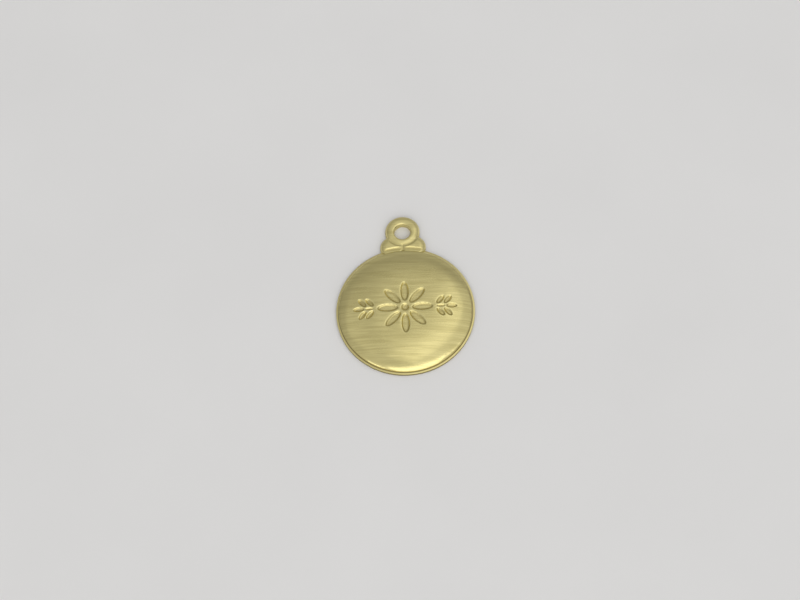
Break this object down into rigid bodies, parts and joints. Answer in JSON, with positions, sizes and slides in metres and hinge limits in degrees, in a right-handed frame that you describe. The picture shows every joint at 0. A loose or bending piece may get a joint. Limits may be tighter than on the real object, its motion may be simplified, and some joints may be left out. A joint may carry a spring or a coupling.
{
  "type": "charm",
  "caption": "Round stamped brass charm with a low domed brushed face, two small lobes at the neck and an eyelet, closed at the back by a flat plate.",
  "frame": {"origin": "middle of the round disc on the flat back face, which the charm lies on", "axes": "+Y towards the eyelet, +Z out through the face, +X to the right as the face is seen with the eyelet up"},
  "size_m": [0.016, 0.0201, 0.0015],
  "materials": {
    "brushed_brass": "raw brass, finely brushed across the face, smoother round the edge and on the neck",
    "plain_brass": "raw brass sheet, satin, sheared edge",
    "solder": "dull hard solder, a little tarnished"
  },
  "bodies": {
    "root": {"front_shell": "brushed_brass", "back_plate": "plain_brass", "solder_seam": "solder"}
  },
  "joints": []
}
